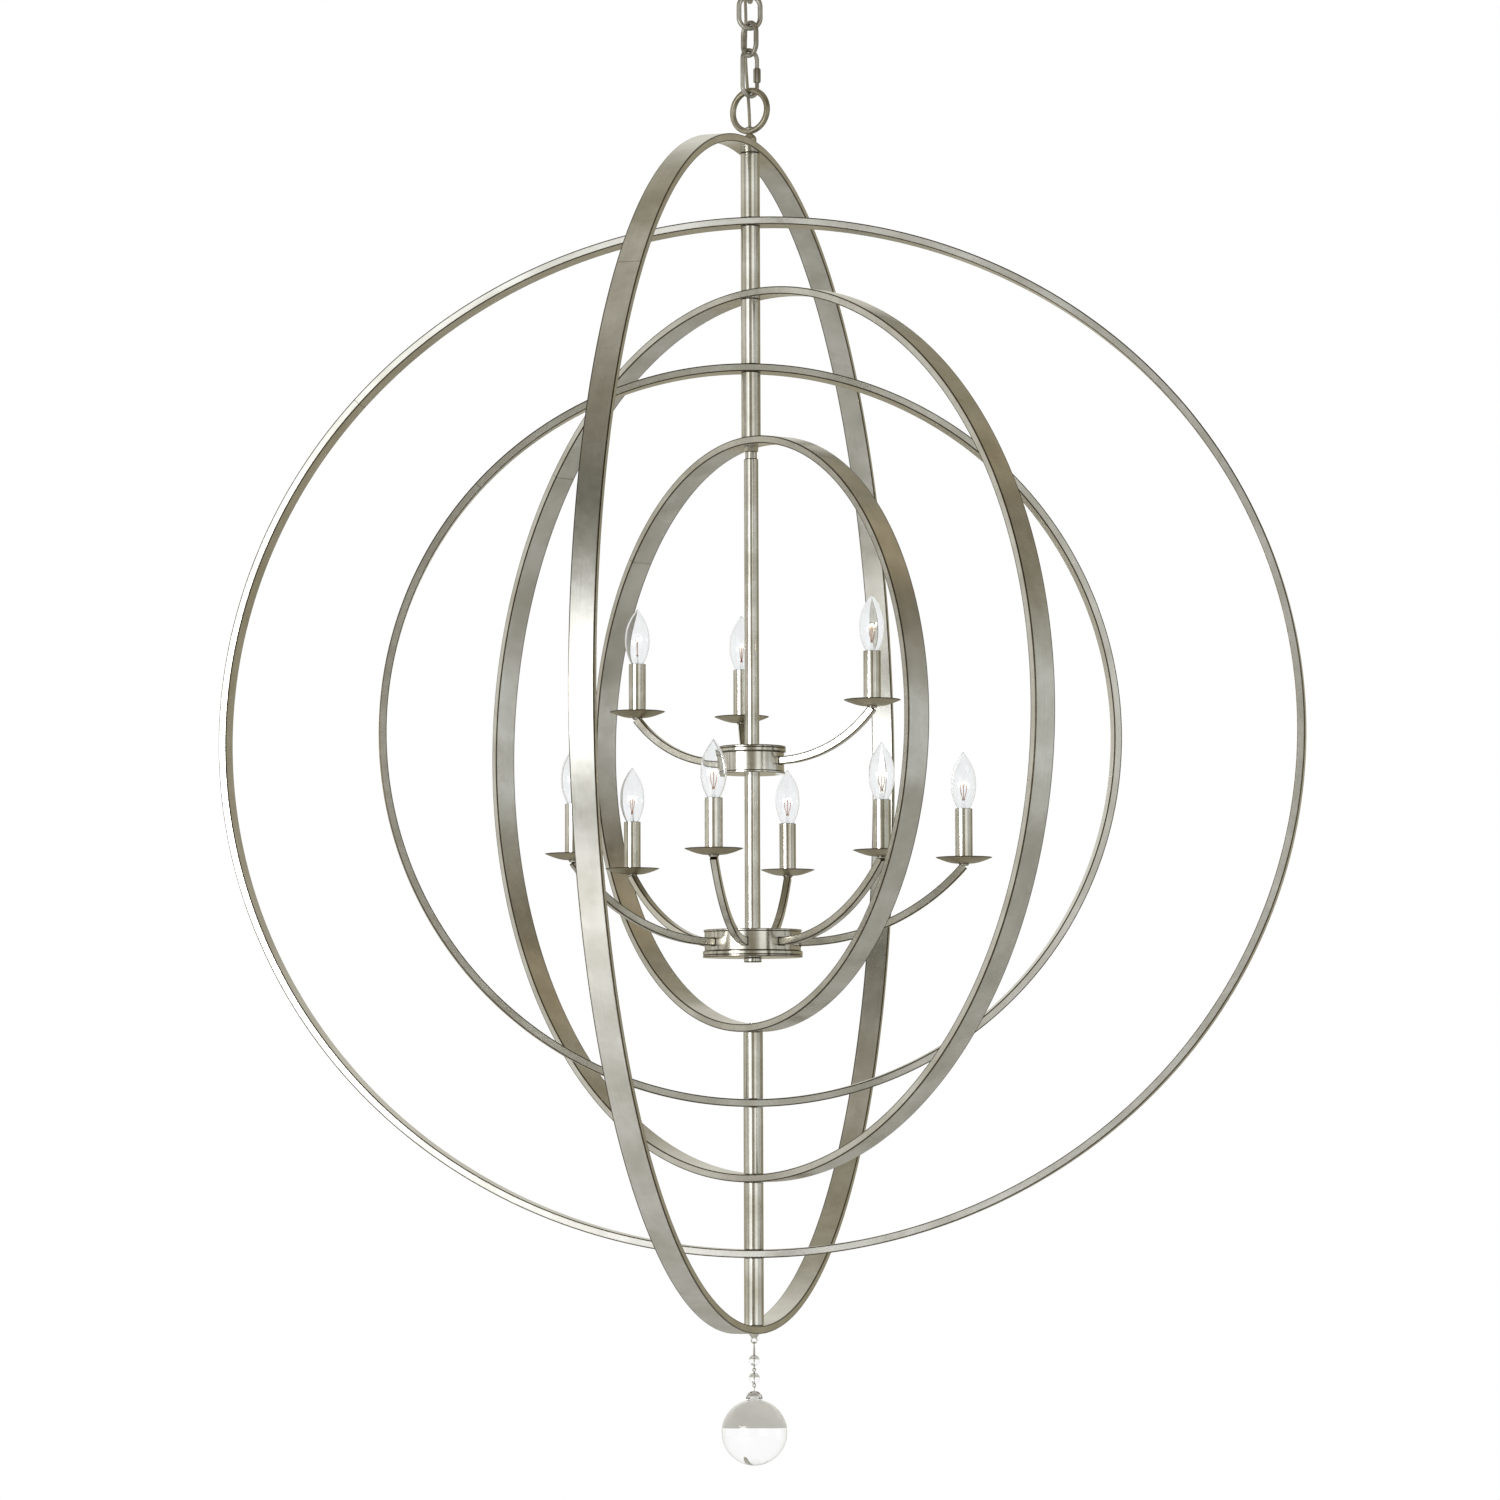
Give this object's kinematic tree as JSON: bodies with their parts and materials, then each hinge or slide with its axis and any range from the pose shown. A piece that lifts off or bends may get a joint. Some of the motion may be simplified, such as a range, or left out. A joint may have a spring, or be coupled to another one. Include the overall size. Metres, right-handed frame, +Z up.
{
  "type": "orb chandelier",
  "caption": "Hanging orb chandelier of nested hoops on one vertical axis, with two tiers of candle lights, a ceiling chain and a crystal drop.",
  "frame": {"origin": "centre of the ceiling plane, on the vertical axis, at the top face of the crossbar", "axes": "+Z up, the chandelier hangs below the origin; -Y faces the front view; the crossbar lies along X"},
  "size_m": [1.3917, 1.483, 1.9808],
  "materials": {
    "silver_leaf": "brushed antique silver leaf",
    "plated_steel": "nickel plated",
    "clear_glass": "clear",
    "crystal": "polished clear",
    "lamp_brass": "bright",
    "socket_phenolic": "moulded",
    "cord_jacket": "clear silver jacket"
  },
  "bodies": {
    "ceiling_fitting": {"canopy": "silver_leaf", "crossbar": "plated_steel", "nipple_and_nut": "plated_steel", "collar_loop": "silver_leaf", "supply_cord": "cord_jacket"},
    "top_link": {"chain_link_1": "silver_leaf"},
    "middle_link": {"chain_link_2": "silver_leaf"},
    "bottom_link": {"chain_link_3": "silver_leaf"},
    "quick_link_body": {"quick_link": "silver_leaf"},
    "gate_nut_body": {"gate_nut": "silver_leaf"},
    "fixture": {"top_loop": "silver_leaf", "upper_rod": "plated_steel", "upper_spacer_1": "silver_leaf", "upper_spacer_2": "silver_leaf", "upper_spacer_3": "silver_leaf", "upper_spacer_4": "silver_leaf", "lock_nut": "silver_leaf", "neck": "silver_leaf", "upper_stem": "silver_leaf", "lower_stem": "silver_leaf", "end_cap": "silver_leaf", "upper_hub_shell": "silver_leaf", "upper_hub_cover": "silver_leaf", "lower_hub_shell": "silver_leaf", "lower_hub_cover": "silver_leaf", "upper_arm_1": "silver_leaf", "upper_arm_2": "silver_leaf", "upper_arm_3": "silver_leaf", "lower_arm_1": "silver_leaf", "lower_arm_2": "silver_leaf", "lower_arm_3": "silver_leaf", "lower_arm_4": "silver_leaf", "lower_arm_5": "silver_leaf", "lower_arm_6": "silver_leaf", "arm_cups": "silver_leaf", "drip_pans": "silver_leaf", "candle_sleeves": "silver_leaf", "lamp_sockets": "socket_phenolic", "bulb_bases": "lamp_brass", "bulb_glass": "clear_glass"},
    "outer_hoop": {"hoop_1": "silver_leaf", "lower_rod": "plated_steel", "finial": "plated_steel", "lower_spacer_1": "silver_leaf", "lower_spacer_2": "silver_leaf", "lower_spacer_3": "silver_leaf", "lower_spacer_4": "silver_leaf"},
    "second_hoop": {"hoop_2": "silver_leaf"},
    "third_hoop": {"hoop_3": "silver_leaf"},
    "fourth_hoop": {"hoop_4": "silver_leaf"},
    "inner_hoop": {"hoop_5": "silver_leaf"},
    "upper_bead_body": {"upper_bead_wire": "plated_steel", "upper_bead": "crystal"},
    "lower_bead_body": {"lower_bead_wire": "plated_steel", "lower_bead": "crystal"},
    "crystal_body": {"crystal_cap": "plated_steel", "crystal_ball": "crystal"}
  },
  "joints": [
    {"name": "top_link_swing", "type": "hinge", "parent": "ceiling_fitting", "child": "top_link", "pos_m": [0, 0, -0.065], "axis": [0.9848, -0.1736, 0], "range_deg": [-40, 40], "deforming": ["supply_cord"]},
    {"name": "middle_link_swing", "type": "hinge", "parent": "top_link", "child": "middle_link", "pos_m": [0, 0, -0.10075], "axis": [0.1736, 0.9848, 0], "range_deg": [-40, 40]},
    {"name": "bottom_link_swing", "type": "hinge", "parent": "middle_link", "child": "bottom_link", "pos_m": [0, 0, -0.13625], "axis": [0.9962, 0.0872, 0], "range_deg": [-40, 40]},
    {"name": "quick_link_swing", "type": "hinge", "parent": "bottom_link", "child": "quick_link_body", "pos_m": [0, 0, -0.17175], "axis": [0.6018, -0.7986, 0], "range_deg": [-40, 40]},
    {"name": "gate_nut_slide", "type": "slide", "parent": "quick_link_body", "child": "gate_nut_body", "axis": [0, 0, 1], "range_m": [0, 0.0084]},
    {"name": "fixture_swing", "type": "hinge", "parent": "quick_link_body", "child": "fixture", "pos_m": [0, 0, -0.2256], "axis": [0.766, 0.6428, 0], "range_deg": [-30, 30]},
    {"name": "outer_hoop_turn", "type": "hinge", "parent": "fixture", "child": "outer_hoop", "pos_m": [0, 0, -1.0528], "axis": [0, 0, 1], "continuous": true},
    {"name": "second_hoop_turn", "type": "hinge", "parent": "fixture", "child": "second_hoop", "pos_m": [0, 0, -1.0528], "axis": [0, 0, 1], "continuous": true},
    {"name": "third_hoop_turn", "type": "hinge", "parent": "fixture", "child": "third_hoop", "pos_m": [0, 0, -1.0528], "axis": [0, 0, 1], "continuous": true},
    {"name": "fourth_hoop_turn", "type": "hinge", "parent": "fixture", "child": "fourth_hoop", "pos_m": [0, 0, -1.0528], "axis": [0, 0, 1], "continuous": true},
    {"name": "inner_hoop_turn", "type": "hinge", "parent": "fixture", "child": "inner_hoop", "pos_m": [0, 0, -1.0528], "axis": [0, 0, 1], "continuous": true},
    {"name": "upper_bead_swing", "type": "hinge", "parent": "outer_hoop", "child": "upper_bead_body", "pos_m": [0, 0, -1.8274], "axis": [1, 0, 0], "range_deg": [-35, 35]},
    {"name": "lower_bead_swing", "type": "hinge", "parent": "upper_bead_body", "child": "lower_bead_body", "pos_m": [0, 0, -1.86015], "axis": [0, 1, 0], "range_deg": [-35, 35]},
    {"name": "crystal_swing", "type": "hinge", "parent": "lower_bead_body", "child": "crystal_body", "pos_m": [0, 0, -1.88265], "axis": [1, 0, 0], "range_deg": [-35, 35]}
  ]
}
